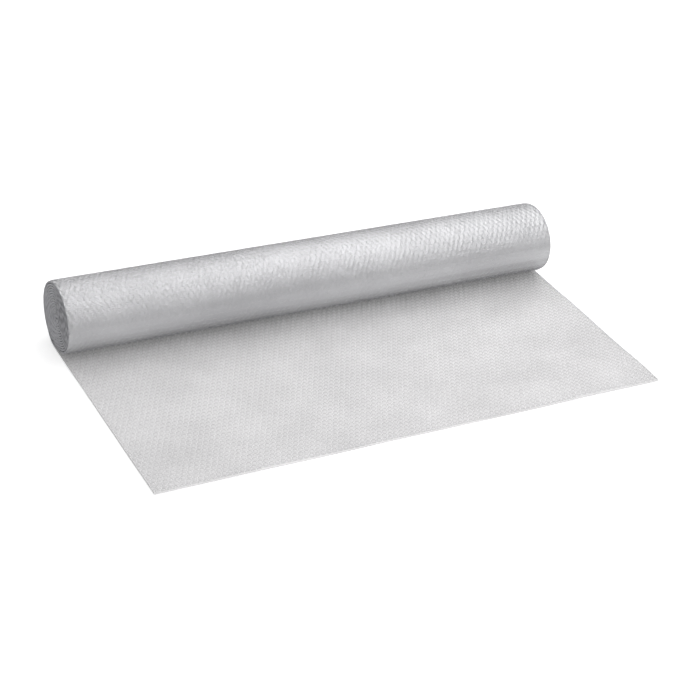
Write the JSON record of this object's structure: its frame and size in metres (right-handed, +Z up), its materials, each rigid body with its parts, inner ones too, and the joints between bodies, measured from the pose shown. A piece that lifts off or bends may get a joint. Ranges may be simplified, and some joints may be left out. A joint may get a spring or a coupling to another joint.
{
  "type": "bubble wrap roll",
  "caption": "Soft coreless roll of clear air bubble cushioning film lying on its side, with its free end laid out flat in front of it, bubbles up.",
  "frame": {"origin": "on the floor, under the roll's axis, halfway along the roll, at the middle of its small flat spot", "axes": "+X along the roll, +Z up, and the free end is laid out towards -Y"},
  "size_m": [1, 0.562, 0.1351],
  "materials": {
    "bubble_film": "thin clear polyethylene film with air bubbles, silvery and glossy where it is wound"
  },
  "bodies": {
    "root": {"bubble_film": "bubble_film"}
  },
  "joints": []
}
